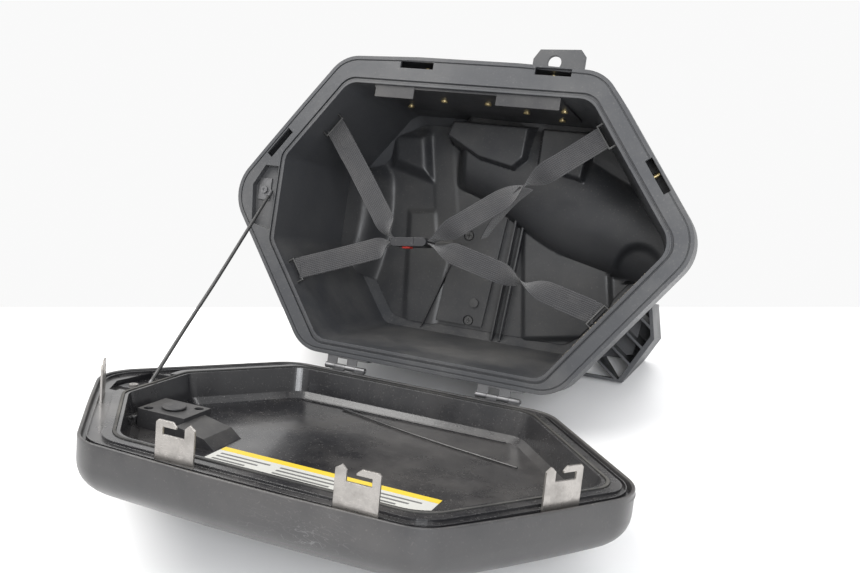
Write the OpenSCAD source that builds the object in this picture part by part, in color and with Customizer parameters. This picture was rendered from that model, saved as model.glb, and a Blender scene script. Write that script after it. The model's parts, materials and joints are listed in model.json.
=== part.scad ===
/* [Case outline] */
// Width across the two side points
case_w = 560; // [520:5:600]
// Height of the rim, lower edge to upper edge
case_h = 346; // [330:2:360]
// Width of the straight lower edge, and of the upper edge
flat_w = 306; // [290:2:320]
// Height of the side points above the lower edge
side_h = 175; // [165:1:185]
// Radius of the corners at the lower and upper edges
corner_r = 42; // [30:1:50]
// Radius of the two side points
side_r = 48; // [36:1:54]
// How far the upper edge bows outward
crown = 5; // [2:0.5:6]

/* [Tub] */
// Depth of the cavity behind the rim plane
tub_depth = 192; // [180:1:205]
// Wall thickness of the mouldings
wall = 3; // [2.6:0.1:3.4]
// Depth of the hollow rim box that covers the latches
rim_depth = 42; // [40:1:46]
// Lean of the open tub back from upright, in degrees
lean = 23; // [20:0.5:25]

/* [Lid] */
// Opening angle between the rim planes, in degrees
open_angle = 98.4; // [95:0.1:100]
// Overall depth of the domed lid
lid_depth = 68; // [64:1:72]
// Depth of the bowl inside the lid
bowl_depth = 33; // [28:1:36]

/* [Hinges] */
// Distance of each hinge from the middle of the case
hinge_x = 92; // [80:1:110]
// Length of each hinge
hinge_len = 50; // [46:1:56]
// Outer radius of the knuckles
knuckle_r = 3.4; // [3.2:0.1:3.6]
// Radius of the hinge pin
hinge_pin_r = 1.6; // [1.4:0.1:1.8]

/* [Hooks and latches] */
// Width of a hook
hook_w = 36; // [34:1:37]
// Height of a hook above the lid rim
hook_h = 31; // [30:1:33]
// Thickness of the hook plate
hook_t = 2; // [1.5:0.1:2.2]
// Length of the slot that takes a hook
slot_len = 40; // [39:0.5:42]
// Width of the slot
slot_w = 8; // [7.5:0.1:8.5]
// Radius of a latch pin
latch_pin_r = 2.5; // [2.2:0.1:2.7]
// Travel of the latch pins from open to locked
latch_travel = 11; // [8:0.5:11]

/* [Straps] */
// Width of the webbing
strap_w = 25; // [22:1:26]
// Thickness of the webbing
strap_t = 1.6; // [1.2:0.1:1.8]
// Depth of the buckle's centre behind the rim plane
buckle_y = 27; // [24:1:30]

/* [Stay] */
// Diameter of the stay cable
stay_d = 4; // [3:0.5:4]

/* [Carrier fittings] */
// Radius of the hole in the top bracket
bracket_hole_r = 8; // [6:0.5:9]
// Width of the top bracket
bracket_w = 60; // [54:1:64]
// Spacing of the two tapped holes in the rear plate
rear_pitch = 84; // [80:1:90]

/* [Hidden] */
$fn = 32;
eps = 0.01;

// ---- outline of the rim, seen from the front: X across, Y up from the hinge axis ----
low = 12;
top = low + case_h;
hexagon = [[-flat_w / 2, low], [flat_w / 2, low], [case_w / 2, low + side_h],
    [flat_w / 2, top], [-flat_w / 2, top], [-case_w / 2, low + side_h]];

function unit(v) = v / norm(v);
function left_of(v) = [-v[1], v[0]];
function cross2(a, b) = a[0] * b[1] - a[1] * b[0];
function meet(p, d, q, e) = p + d * cross2(q - p, e) / cross2(d, e);
function mix(a, b, k) = a + (b - a) * k;

// Moves edge i of a counter-clockwise outline inward by d[i]
function inset(pts, d) = [for (i = [0:len(pts) - 1])
    let (n = len(pts), j = (i + n - 1) % n,
        d1 = unit(pts[i] - pts[j]), d2 = unit(pts[(i + 1) % n] - pts[i]))
    meet(pts[i] + left_of(d1) * d[j], d1, pts[i] + left_of(d2) * d[i], d2)];

// Replaces the left point of the six-sided outline by an upright edge at x
function cut_left(p, x) = [p[0], p[1], p[2], p[3], p[4],
    meet(p[4], p[5] - p[4], [x, 0], [0, 1]), meet(p[0], p[5] - p[0], [x, 0], [0, 1])];

// Adds a point in the middle of edge i, moved outward by c[i]
function bowed(p, c) = [for (i = [0:len(p) - 1]) let (q = p[(i + 1) % len(p)])
    each (c[i] == 0 ? [p[i]] : [p[i], (p[i] + q) / 2 - left_of(unit(q - p[i])) * c[i]])];

// Rounds every corner of a convex counter-clockwise outline
function rounded(p, r, step = 6) = [for (i = [0:len(p) - 1])
    let (n = len(p), a = unit(p[i] - p[(i + n - 1) % n]), b = unit(p[(i + 1) % n] - p[i]),
        turn = acos(min(1, a * b)), start = p[i] - a * r[i] * tan(turn / 2),
        mid = start + left_of(a) * r[i], k = max(1, ceil(turn / step)), arm = start - mid)
    for (s = [0:k]) let (w = turn * s / k)
        mid + [arm[0] * cos(w) - arm[1] * sin(w), arm[0] * sin(w) + arm[1] * cos(w)]];

bows = [0, 0, crown - 1, crown, crown - 4, 0];
bow_r = 1800;
function rim_radii(c, s) = [c, c, s, bow_r, c, bow_r, c, 2 * bow_r, s];
function dome_outline(d) = rounded(bowed(inset(hexagon, [d, d, d, d, d, d]), bows),
    rim_radii(max(2, corner_r - d), max(2, side_r - d)), 11);
function rim_outline(d) = rounded(bowed(inset(hexagon, [d, d, d, d, d, d]), bows),
    rim_radii(max(2, corner_r - d), max(2, side_r - d)));

// Opening of the tub: insets of the edges at the front and at the back
front_in = [16, 25, 26, 30, 27, 25];
back_in = [36, 45, 44, 30, 38, 42];
front_left = -211;
back_left = -198;
function opening(k, g = 0) = rounded(
    inset(cut_left(inset(hexagon, mix(front_in, back_in, k)), mix(front_left, back_left, k)),
        [g, g, g, g, g, g, g]), [20, 20, 26, 24, 24, 18, 18]);

// Opening of the bowl in the lid
bowl_in = [16, 25, 29, 31, 33, 25];
bowl_left = -209;
function bowl(g) = rounded(inset(cut_left(inset(hexagon, bowl_in), bowl_left),
    [g, g, g, g, g, g, g]), [24, 26, 26, 40, 30, 20, 20]);

// ---- resting attitude ----
parting = 0.4;
dome = [[-24, 0], [-36, 4], [-48, 17], [-60, 41], [-lid_depth, 72]];
function swing(y, z, a) = [y * cos(a) - z * sin(a), y * sin(a) + z * cos(a)];
dome_heights = [for (s = dome) swing(s[0], low + s[1], open_angle - lean)[1]];
hinge_z = -min(dome_heights);
hinge_y = 25.6;

module in_tub() translate([0, hinge_y, hinge_z]) rotate([-lean, 0, 0]) children();
module in_lid() in_tub() rotate([open_angle, 0, 0]) children();

// Plate of a front-view outline from depth y0 to depth y1
module slab(p, y0, y1) translate([0, y1, 0]) rotate([90, 0, 0]) linear_extrude(y1 - y0) polygon(p);
module ring(outer, inner, y0, y1) translate([0, y1, 0]) rotate([90, 0, 0])
    linear_extrude(y1 - y0) difference() {
        polygon(outer);
        polygon(inner);
    }
module box(lo, hi) translate(lo) cube(hi - lo);
module rod(r, y0, y1) translate([0, y1, 0]) rotate([90, 0, 0]) cylinder(r = r, h = y1 - y0);

// ---- latch places along the rim: position, and direction of the edge towards locking ----
upper_left = unit(hexagon[5] - hexagon[4]);
upper_right = unit(hexagon[2] - hexagon[3]);
latch_at = [
    mix(hexagon[4], hexagon[5], 0.60) + left_of(upper_left) * 10,
    [-60, top - 6],
    [98, top - 4],
    mix(hexagon[3], hexagon[2], 0.585) - left_of(upper_right) * 5];
latch_dir = [upper_left, [-1, 0], [1, 0], upper_right];
// Side of local Z on which the middle of the case lies
latch_side = [1, 1, -1, -1];
// Place of the latch pin in the hook's own axes, open
pin_at = -5;
pin_depth = 22.7;

// Puts children at latch i: local X runs along the rim towards locking, local Y is depth
module at_latch(i) translate([latch_at[i][0], 0, latch_at[i][1]])
    rotate([0, -atan2(latch_dir[i][1], latch_dir[i][0]), 0]) children();

// ---- screws ----
module pan_screw(head_r, head_h, shank_r, shank_l) difference() {
    union() {
        cylinder(r = head_r, h = head_h);
        translate([0, 0, -shank_l]) cylinder(r = shank_r, h = shank_l + eps);
    }
    translate([0, 0, head_h]) cube([head_r * 1.1, 0.8, head_h], center = true);
    translate([0, 0, head_h]) cube([0.8, head_r * 1.1, head_h], center = true);
}
module facing_down() rotate([180, 0, 0]) children();
module facing_front() rotate([90, 0, 0]) children();
module facing_back() rotate([-90, 0, 0]) children();

// ---- tub ----
ceiling = top - front_in[3];
cover_t = 3;
screw_gap = 0.1;
cover_screws_at = [[-102, 98], [-102, 30], [-41, 52], [14, 50], [52, 82], [88, 112], [102, 60]];
module cover_screw_places() for (p = cover_screws_at)
    translate([p[0], p[1], ceiling - cover_t]) facing_down() children();

plate_y = tub_depth - 10;
plate_screws_at = [[-30, 178], [-27, 148], [-14, 68]];
stud_at = [-9, 92];
module plate_screw_places() for (p = plate_screws_at)
    translate([p[0], plate_y + 4, p[1]]) facing_front() children();

recess_y = 9;
recess = [[-244, 150], [-218, 145], [-218, 221], [-236, 221], [-250, 196]];
bracket_screw_x = -237;
bulge_r = 46;

module tub_walls(g, back) hull() {
    slab(opening(0, g), 2, 3);
    slab(opening(0.93, g), back - 16, back - 15);
    slab(opening(1, g + 12), back - 1, back);
}

// Housing over the road wheel, standing into the cavity from the back wall
bulge_line = [[-40, 300], [215, 196]];
module wheel_bulge(r, y, ends = [0, 1]) hull() for (k = ends)
    translate([mix(bulge_line[0], bulge_line[1], k)[0], y, mix(bulge_line[0], bulge_line[1], k)[1]])
        rotate([0, 90, 0]) scale([1, 0.75, 1]) cylinder(r = r, h = 1);

function latch_inner(i) = latch_side[i] > 0 ? 4.6 : -8.6;
module latch_channel() difference() {
    ring(rim_outline(wall), opening(0, -wall), wall + 1, rim_depth - wall);
    box([-300, 0, 0], [0, rim_depth, 227]);
    box([0, 0, 0], [300, rim_depth, 200]);
    for (i = [0:3]) at_latch(i) for (y = [[0, pin_depth - 5.8], [pin_depth + 5.8, rim_depth]])
        box([-17, y[0], latch_inner(i)],
            [19, y[1], latch_inner(i) + 4]);
}

module tub_shell() color([0.16, 0.165, 0.175]) in_tub() difference() {
    union() {
        slab(rim_outline(0), 0, rim_depth);
        tub_walls(-wall, tub_depth + wall);
    }
    difference() {
        union() {
            tub_walls(0, tub_depth);
            slab(opening(0, 0), -1, 3);
        }
        wheel_bulge(bulge_r, tub_depth);
    }
    wheel_bulge(bulge_r - wall, tub_depth + 1, [0.02, 0.82]);
    latch_channel();
    for (i = [0:3]) at_latch(i) box([-slot_len / 2, -1, -slot_w / 2], [slot_len / 2, 6, slot_w / 2]);
    ring(rim_outline(4), rim_outline(5.4), -1, 1.6);
    ring(opening(0, -6), opening(0, -4), -1, 3);
    translate([0, recess_y, 0]) rotate([90, 0, 0]) linear_extrude(recess_y + 1) polygon(recess);
    stay_screw_tub_place() cylinder(r = 2 + screw_gap, h = 24, center = true);
    cover_screw_places() cylinder(r = 2 + screw_gap, h = 26, center = true);
    plate_screw_places() cylinder(r = 3 + screw_gap, h = 60, center = true);
    translate([stud_at[0], 0, stud_at[1]]) rod(4, plate_y, tub_depth + 20);
    bracket_screw_places() cylinder(r = 2.5 + screw_gap, h = 12, center = true);
    foot_screw_places() cylinder(r = 2 + screw_gap, h = 13, center = true);
    for (i = [0:3]) at_anchor(i) for (s = [-1, 1]) translate([s * anchor_span, 0, 0])
        cylinder(r = anchor_r, h = 4.4, center = true);
    hinge_rivet_places(1) cylinder(r = rivet_r, h = 9);
}

module latch_cover() color([0.12, 0.12, 0.125]) in_tub() difference() {
    union() {
        box([-110, 4, ceiling - cover_t], [110, 120, ceiling]);
        box([-108, 3, ceiling - 14], [-60, 7, ceiling]);
        box([38, 3, ceiling - 14], [110, 7, ceiling]);
    }
    cover_screw_places() cylinder(r = 2 + screw_gap, h = 20, center = true);
}

module latch_cover_screws() color([0.5, 0.48, 0.42]) in_tub()
    cover_screw_places() pan_screw(4, 2, 2, 5.5);

module backing_plate() color([0.17, 0.175, 0.18]) in_tub() difference() {
    translate([0, tub_depth, 0]) rotate([90, 0, 0]) linear_extrude(tub_depth - plate_y)
        polygon([[-58, 62], [5, 62], [18, 206], [-46, 206]]);
    plate_screw_places() {
        cylinder(r = 3 + screw_gap, h = 60, center = true);
        cylinder(r = 7, h = 20);
    }
    translate([stud_at[0], 0, stud_at[1]]) rod(4, plate_y - 5, tub_depth + 5);
}

module backing_screws() color([0.3, 0.3, 0.31]) in_tub()
    plate_screw_places() pan_screw(5.5, 3, 3, 16);

module locating_stud() color([0.22, 0.22, 0.23]) in_tub() translate([stud_at[0], 0, stud_at[1]]) {
    rod(6, plate_y - 3, plate_y);
    rod(4, plate_y - eps, tub_depth + wall + rear_t + 8);
}

rear_t = 5;
rear_hole_r = 3;
rear_mid = [-44, 126];
module rear_plate() color([0.28, 0.28, 0.29]) in_tub() difference() {
    translate([0, tub_depth + wall + rear_t, 0]) rotate([90, 0, 0]) linear_extrude(rear_t)
        polygon([[-60, 62], [8, 62], [12, 200], [-56, 200]]);
    plate_screw_places() cylinder(r = 3 + screw_gap, h = 60, center = true);
    translate([stud_at[0], 0, stud_at[1]]) rod(4, tub_depth, tub_depth + 20);
    for (s = [-1, 1]) translate([rear_mid[0], 0, rear_mid[1] + s * rear_pitch / 2])
        rod(rear_hole_r, tub_depth, tub_depth + 20);
}

bracket_y = 58;
bracket_x = 87;
bracket_foot = ceiling + wall;
hole_z = top + 21;
module bracket_screw_places() for (s = [-1, 1])
    translate([bracket_x + s * 16, bracket_y + 18, bracket_foot + 4]) children();
module top_bracket() color([0.2, 0.2, 0.21]) in_tub() difference() {
    union() {
        translate([bracket_x, bracket_y + 5, bracket_foot]) rotate([90, 0, 0]) linear_extrude(5)
            polygon([[-bracket_w / 2, 0], [bracket_w / 2, 0], [bracket_w / 2, 57],
                [bracket_w / 2 - 6, 64], [-bracket_w / 2 + 7, 62], [-bracket_w / 2, 51]]);
        box([bracket_x - bracket_w / 2, bracket_y + 4, bracket_foot],
            [bracket_x + bracket_w / 2, bracket_y + 30, bracket_foot + 4]);
        for (x = [-bracket_w / 2, -1.5, bracket_w / 2 - 3]) translate([bracket_x + x, bracket_y + 4, bracket_foot])
            rotate([90, 0, 90]) linear_extrude(3) polygon([[0, 0], [26, 0], [26, 4], [1, 30], [0, 30]]);
    }
    translate([bracket_x - 5, 0, hole_z]) rod(bracket_hole_r, bracket_y - 1, bracket_y + 12);
    bracket_screw_places() cylinder(r = 2.5 + screw_gap, h = 12, center = true);
}
module top_bracket_screws() color([0.5, 0.5, 0.5]) in_tub()
    bracket_screw_places() pan_screw(5, 3, 2.5, 6);

// Ribbed feet behind the lower corners, cut level where the case stands
foot_y = [165, 238];
foot_screws_at = [[104, 76], [112, 104]];
foot_edge = [[120, 26], [196, 26], [226, 84], [217, 126], [205, 122]];
module foot_screw_places() for (s = [-1, 1]) for (p = foot_screws_at)
    translate([s * p[0], tub_depth + wall + 4, p[1]]) facing_back() children();
module foot_block(y0, y1) translate([0, y1, 0]) rotate([90, 0, 0]) linear_extrude(y1 - y0)
    polygon(foot_edge);
module foot() difference() {
    in_tub() difference() {
        union() {
            foot_block(foot_y[1] - 4, foot_y[1]);
            translate([0, tub_depth + wall + 4, 0]) rotate([90, 0, 0]) linear_extrude(3.95)
                polygon([[88, 62], [150, 48], [200, 60], [206, 110], [150, 118], [88, 118]]);
            intersection() {
                foot_block(foot_y[0], foot_y[1]);
                union() {
                    for (k = [0:3]) translate([160 + k * 14, 0, 50 + k * 20]) rotate([0, 37, 0])
                        box([-60, foot_y[0], -1.5], [60, foot_y[1], 1.5]);
                    difference() {
                        foot_block(foot_y[0], foot_y[1]);
                        translate([-5, 0, 3]) foot_block(foot_y[0] - 1, foot_y[1] + 1);
                    }
                    tub_walls(-wall - 4, tub_depth + wall + 4);
                }
            }
        }
        tub_walls(-wall - 0.05, tub_depth + wall + 0.04);
        for (p = foot_screws_at) translate([p[0], 0, p[1]]) rod(2 + screw_gap, tub_depth, tub_depth + 20);
    }
    box([-400, -400, -200], [400, 600, 0]);
}
module foot_left() color([0.2, 0.205, 0.21]) mirror([1, 0, 0]) foot();
module foot_right() color([0.2, 0.205, 0.21]) foot();
module foot_screws() color([0.5, 0.5, 0.5]) in_tub() foot_screw_places() pan_screw(4.5, 2.6, 2, 6);

// ---- latch pins, each on its sliding bar ----
module latch_pin(i) color([0.72, 0.66, 0.45]) in_tub() at_latch(i) translate([pin_at, pin_depth, 0])
    rotate([latch_side[i] < 0 ? 180 : 0, 0, 0]) {
        translate([0, 0, -1.9]) cylinder(r = latch_pin_r, h = 6.9 + eps);
        box([-11, -5.5, 5], [11, 5.5, 8]);
    }
module latch_pin_1() latch_pin(0);
module latch_pin_2() latch_pin(1);
module latch_pin_3() latch_pin(2);
module latch_pin_4() latch_pin(3);

// ---- straps: an anchor staple on the wall, and webbing to the buckle ----
anchor_span = 14;
anchor_reach = 7;

// Inset of a cavity wall at a depth behind the rim plane
function wall_inset(edge, y) = mix(front_in[edge], back_in[edge], 0.93 * (y - 2) / (tub_depth - 18));
// Edge of the outline, fraction along it from its upper or lower end, and depth
anchor_spec = [[4, 4, 5, 0.34, 30], [5, 0, 5, 0.41, 12], [2, 3, 2, 0.25, 30], [1, 1, 2, 0.41, 30]];
function anchor_dir(i) = unit(hexagon[anchor_spec[i][2]] - hexagon[anchor_spec[i][1]]);
function anchor_in(i) = (i == 1 || i == 2 ? -1 : 1) * left_of(anchor_dir(i));
function anchor_wall(i) = let (s = anchor_spec[i])
    mix(hexagon[s[1]], hexagon[s[2]], s[3]) + anchor_in(i) * wall_inset(s[0], s[4]);
function in_space(p, y) = [p[0], y, p[1]];

anchor_r = 1.4;
module at_anchor(i) let (d = (i == 1 || i == 2 ? -1 : 1) * anchor_dir(i), w = anchor_wall(i))
    translate([w[0], anchor_spec[i][4], w[1]]) rotate([0, -atan2(d[1], d[0]), 0]) children();
module strap_anchor(i) color([0.24, 0.24, 0.25]) in_tub() at_anchor(i) {
    for (s = [-1, 1]) translate([s * anchor_span, 0, -2.2]) cylinder(r = anchor_r, h = anchor_reach + 2.2);
    for (s = [-1, 1]) translate([s * anchor_span, 0, anchor_reach]) sphere(r = anchor_r);
    translate([-anchor_span, 0, anchor_reach]) rotate([0, 90, 0]) cylinder(r = anchor_r, h = 2 * anchor_span);
}
module anchor_upper_left() strap_anchor(0);
module anchor_lower_left() strap_anchor(1);
module anchor_upper_right() strap_anchor(2);
module anchor_lower_right() strap_anchor(3);

// The buckle lies edge on to the opening; its parts share these axes, X along the buckle
buckle_mid = [-37, 154.5];
buckle_tilt = 7;
buckle_half = 15;
buckle_r = 5;
body_len = 29;
tongue_len = 15;
module in_buckle() in_tub() translate([buckle_mid[0], buckle_y, buckle_mid[1]])
    rotate([0, -buckle_tilt, 0]) children();
function buckle_point(x, z) = [buckle_mid[0] + x * cos(buckle_tilt) - z * sin(buckle_tilt), buckle_y,
    buckle_mid[1] + x * sin(buckle_tilt) + z * cos(buckle_tilt)];

module buckle_body() color([0.2, 0.2, 0.21]) in_buckle() difference() {
    union() {
        box([-body_len + buckle_r, -buckle_half, -buckle_r], [0, buckle_half, buckle_r]);
        translate([-body_len + buckle_r, 0, 0]) rod(buckle_r, -buckle_half, buckle_half);
    }
    box([-18.5, -9.6, -1.6], [1, 9.6, 1.6]);
    box([-18, -6, -6], [-8, 6, -1.4]);
    box([-27, -13, -6], [-24.5, 13, 6]);
}
module buckle_button() color([0.75, 0.06, 0.05]) in_buckle()
    box([-17.6, -5.6, -6.8], [-8.4, 5.6, -3.4]);
module buckle_tongue() color([0.2, 0.2, 0.21]) in_buckle() difference() {
    union() {
        box([0.3, -buckle_half, -buckle_r], [tongue_len - buckle_r, buckle_half, buckle_r]);
        translate([tongue_len - buckle_r, 0, 0]) rod(buckle_r, -buckle_half, buckle_half);
        box([-17, -9, -1.2], [1, 9, 1.2]);
    }
    box([10.5, -13, -6], [13, 13, 6]);
}

// Webbing: a flat strip that turns from lying along the wall to standing in the buckle
strap_steps = 16;
strap_ends = [buckle_point(-body_len - 0.6, 1.4), buckle_point(-body_len - 0.6, -1.4),
    buckle_point(tongue_len + 0.6, 1.4), buckle_point(tongue_len + 0.6, -1.4)];
module webbing(i) {
    from = in_space(anchor_wall(i) + anchor_in(i) * (anchor_reach + anchor_r + 4.3), anchor_spec[i][4]);
    to = strap_ends[i];
    along = unit(to - from);
    flat = in_space(anchor_dir(i), 0);
    side = unit(flat - along * (flat * along));
    up = cross(along, side);
    turn = (up * [0, 1, 0] > 0 ? 90 : -90);
    rings = [for (k = [0:strap_steps]) let (t = k / strap_steps, c = mix(from, to, t),
            a = turn * t * t * (3 - 2 * t), w = side * cos(a) + up * sin(a), n = cross(along, w))
        [for (q = [[-1, -1], [1, -1], [1, 1], [-1, 1]]) c + w * q[0] * strap_w / 2 + n * q[1] * strap_t / 2]];
    points = [for (r = rings) each r];
    m = 4;
    faces = concat([[0, 1, 2], [0, 2, 3]],
        [for (k = [0:strap_steps - 1]) for (q = [0:m - 1]) let (a = k * m + q, b = k * m + (q + 1) % m)
            each [[a, a + m, b + m], [a, b + m, b]]],
        let (e = strap_steps * m) [[e, e + 2, e + 1], [e, e + 3, e + 2]]);
    polyhedron(points, faces);
}
module strap(i) color([0.13, 0.13, 0.135]) in_tub() webbing(i);
module strap_upper_left() strap(0);
module strap_lower_left() strap(1);
module strap_upper_right() strap(2);
module strap_lower_right() strap(3);

// ---- stay cable between the tub and the lid ----
stay_route = [[-226, 97, 214], [-224, 35, 182], [-222, -26, 151], [-221, -88, 120], [-219, -150, 89]];
stay_last = len(stay_route) - 1;
stay_sides = 10;
stay_start = unit(stay_route[1] - stay_route[0]);
stay_end = unit(stay_route[stay_last] - stay_route[stay_last - 1]);
module tube(route, r, sides) {
    last = len(route) - 1;
    rings = [for (k = [0:last]) let (t = unit(route[min(last, k + 1)] - route[max(0, k - 1)]),
            u = unit(cross(t, [1, 0, 0])), v = cross(t, u))
        [for (q = [0:sides - 1]) route[k] + r * (cos(360 * q / sides) * u + sin(360 * q / sides) * v)]];
    polyhedron([for (ring = rings) each ring], concat([[for (q = [0:sides - 1]) q]],
        [for (k = [0:last - 1]) for (q = [0:sides - 1])
            let (a = k * sides + q, b = k * sides + (q + 1) % sides) [a, a + sides, b + sides, b]],
        [[for (q = [sides - 1:-1:0]) last * sides + q]]));
}
module stay_cable() color([0.35, 0.35, 0.36]) tube(stay_route, stay_d / 2, stay_sides);
// Cylinder from a point along a direction
module pointing(at, d) translate(at) rotate([0, acos(d[2]), atan2(d[1], d[0])]) children();
module stay_ferrule_tub() color([0.6, 0.6, 0.6])
    pointing(stay_route[0], -stay_start) cylinder(r = 2.5, h = 9);
module stay_ferrule_lid() color([0.6, 0.6, 0.6])
    pointing(stay_route[stay_last], stay_end) cylinder(r = 2.2, h = 3.8);
stay_z = 192;
module stay_screw_tub_place() translate([bracket_screw_x, recess_y - 2, stay_z]) facing_front() children();
module stay_bracket_tub() color([0.45, 0.45, 0.46]) in_tub() difference() {
    box([-245, recess_y - 2, 180], [-229, recess_y, 206]);
    stay_screw_tub_place() cylinder(r = 2 + screw_gap, h = 12, center = true);
}
module stay_screw_tub() color([0.6, 0.6, 0.6]) in_tub() stay_screw_tub_place() pan_screw(4.5, 2.4, 2, 8);
lid_recess_y = -10;
module stay_screw_lid_place() translate([-234, lid_recess_y + 2, 190]) facing_back() children();
module stay_bracket_lid() color([0.42, 0.42, 0.42]) in_lid() difference() {
    box([-246, lid_recess_y, 184], [-217, lid_recess_y + 2, 197]);
    stay_screw_lid_place() cylinder(r = 2 + screw_gap, h = 12, center = true);
}
module stay_screw_lid() color([0.7, 0.7, 0.7]) in_lid() stay_screw_lid_place() pan_screw(4.5, 2.4, 2, 5);

// ---- hinges ----
hinge_parts = 4;
hinge_play = 0.3;
leaf_t = 2;
rivet_r = 1.6;
module hinge_rivet_places(side) for (s = [-1, 1]) for (q = [-1, 1])
    translate([s * hinge_x + q * 15, side * 13, low - 0.2 - leaf_t]) children();
// Leaf on one side of the pin; parts numbered from `first` carry its knuckles
module hinge_leaf(first, bore) {
    part = hinge_len / hinge_parts;
    box([-hinge_len / 2, 1.4, low - 0.2 - leaf_t], [hinge_len / 2, 24, low - 0.2]);
    difference() {
        for (k = [first:2:hinge_parts - 1]) translate([-hinge_len / 2 + k * part + hinge_play / 2, 0, 0]) {
            rotate([0, 90, 0]) cylinder(r = knuckle_r, h = part - hinge_play);
            box([0, 1.4, 0], [part - hinge_play, 1.4 + leaf_t, low - 0.2 - leaf_t + eps]);
        }
        translate([-hinge_len, 0, 0]) rotate([0, 90, 0]) cylinder(r = bore, h = 2 * hinge_len);
    }
    for (q = [-1, 1]) translate([q * 15, 13, low - 0.2 - leaf_t]) {
        translate([0, 0, -1]) cylinder(r = 3, h = 1 + eps);
        cylinder(r = rivet_r, h = leaf_t + 3);
    }
}
module tub_leaf(s) color([0.25, 0.25, 0.26]) in_tub() translate([s * hinge_x, 0, 0])
    hinge_leaf(0, hinge_pin_r);
module lid_leaf(s) color([0.55, 0.55, 0.55]) in_lid() translate([s * hinge_x, 0, 0])
    mirror([0, 1, 0]) hinge_leaf(1, hinge_pin_r + 0.05);
module tub_hinge_leaf_left() tub_leaf(-1);
module tub_hinge_leaf_right() tub_leaf(1);
module lid_hinge_leaf_left() lid_leaf(-1);
module lid_hinge_leaf_right() lid_leaf(1);
module hinge_pin(s) color([0.65, 0.65, 0.66]) in_tub()
    translate([s * hinge_x - hinge_len / 2 - 1, 0, 0]) rotate([0, 90, 0])
        cylinder(r = hinge_pin_r, h = hinge_len + 2);
module hinge_pin_left() hinge_pin(-1);
module hinge_pin_right() hinge_pin(1);

// ---- lid, drawn closed in front of the tub: depth runs to minus Y ----
pan_t = 2.5;
flange_y = -6;
lock_at = [-170, 208];
housing_y = -14;
lock_r = 9;
lid_recess = [[-244, 150], [-216.2, 145], [-216.2, 223], [-236, 223], [-250, 196]];

module dome_solid(g, y_top = -parting) hull() {
    slab(dome_outline(g), -24 + g, y_top);
    for (s = dome) slab(dome_outline(s[1] + g), s[0] + g, s[0] + g + 0.5);
}
module lid_cover() color([0.2, 0.2, 0.21]) in_lid() difference() {
    dome_solid(0);
    dome_solid(wall, 1);
    translate([lock_at[0], 0, lock_at[1]]) rod(lock_r + 0.05, -lid_depth - 5, -lid_depth + 10);
    hinge_rivet_places(-1) cylinder(r = rivet_r, h = leaf_t + 3);
}

module bowl_solid(g, y_top, y_floor) hull() {
    slab(bowl(g), y_top - 1, y_top);
    slab(bowl(g + 5), y_floor + 6, y_floor + 7);
    slab(bowl(g + 12), y_floor, y_floor + 1);
}
module lid_pan() color([0.05, 0.05, 0.055]) in_lid() difference() {
    union() {
        slab(dome_outline(wall), flange_y - wall, flange_y);
        slab(rim_outline(7), flange_y - eps, -1.5);
        bowl_solid(-pan_t, flange_y - wall, -bowl_depth - pan_t);
        translate([0, flange_y - wall + eps, 0]) rotate([90, 0, 0])
            linear_extrude(4 + pan_t) offset(delta = 2) polygon(lid_recess);
    }
    difference() {
        slab(rim_outline(8), -4, 0);
        slab(bowl(-14), -9, 0);
    }
    bowl_solid(0, 0, -bowl_depth);
    ring(bowl(-6), bowl(-3), flange_y, 1);
    translate([0, 1, 0]) rotate([90, 0, 0]) linear_extrude(1 - lid_recess_y) polygon(lid_recess);
    for (i = [0:3]) at_latch(i)
        box([-hook_w / 2 - 0.2, -15, -hook_t / 2 - 0.2], [hook_w / 2 + 0.2, 1, hook_t / 2 + 0.2]);
    translate([lock_at[0], 0, lock_at[1]]) rod(lock_r + 1.5, -bowl_depth - 10, 0);
    stay_screw_lid_place() cylinder(r = 2 + screw_gap, h = 16, center = true);
    housing_screw_places() cylinder(r = 2 + screw_gap, h = 16, center = true);
}
module lid_seal() color([0.06, 0.06, 0.06]) in_lid() ring(bowl(-5.7), bowl(-3.3), flange_y, -0.6);

hook_bay = [19.6, 26];
module hook(i) color([0.72, 0.7, 0.68]) in_lid() at_latch(i) translate([0, 0, -hook_t / 2])
    linear_extrude(hook_t) polygon([[-hook_w / 2, -12], [hook_w / 2, -12], [hook_w / 2, hook_h - 2],
        [hook_w / 2 - 2, hook_h], [3, hook_h], [-1, hook_bay[1] + 1.5], [-1, hook_bay[1]],
        [hook_w / 2 - 6.3, hook_bay[1]], [hook_w / 2 - 6.3, hook_bay[0]], [-9, hook_bay[0]],
        [-9, hook_h - 3], [-13, hook_h + 0.5], [-hook_w / 2, hook_h - 3]]);
module hook_1() hook(0);
module hook_2() hook(1);
module hook_3() hook(2);
module hook_4() hook(3);

// ---- lock in the lid ----
module housing_screw_places() for (p = [[-151, 194], [-189, 222]])
    translate([p[0], -bowl_depth + pan_t, p[1]]) facing_back() children();
module lock_housing() color([0.05, 0.05, 0.055]) in_lid() difference() {
    union() {
        box([-197, -bowl_depth, 186], [-143, housing_y, 228]);
        translate([0, 0, 196]) linear_extrude(44)
            polygon([[-143 - eps, -bowl_depth], [-100, -bowl_depth], [-112, -24], [-143 - eps, -18]]);
    }
    box([-195, -bowl_depth - 1, 200], [-158, housing_y - pan_t, 226]);
    translate([lock_at[0], 0, lock_at[1]]) rod(lock_r + 0.05, -bowl_depth - 1, 0);
    for (p = [[-151, 194], [-189, 222]]) translate([p[0], 0, p[1]]) {
        rod(4.6, -bowl_depth + pan_t, 0);
        rod(2 + screw_gap, -bowl_depth - 1, 0);
    }
}
module lock_housing_screws() color([0.7, 0.7, 0.7]) in_lid()
    housing_screw_places() pan_screw(4, 2, 2, 6);
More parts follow.
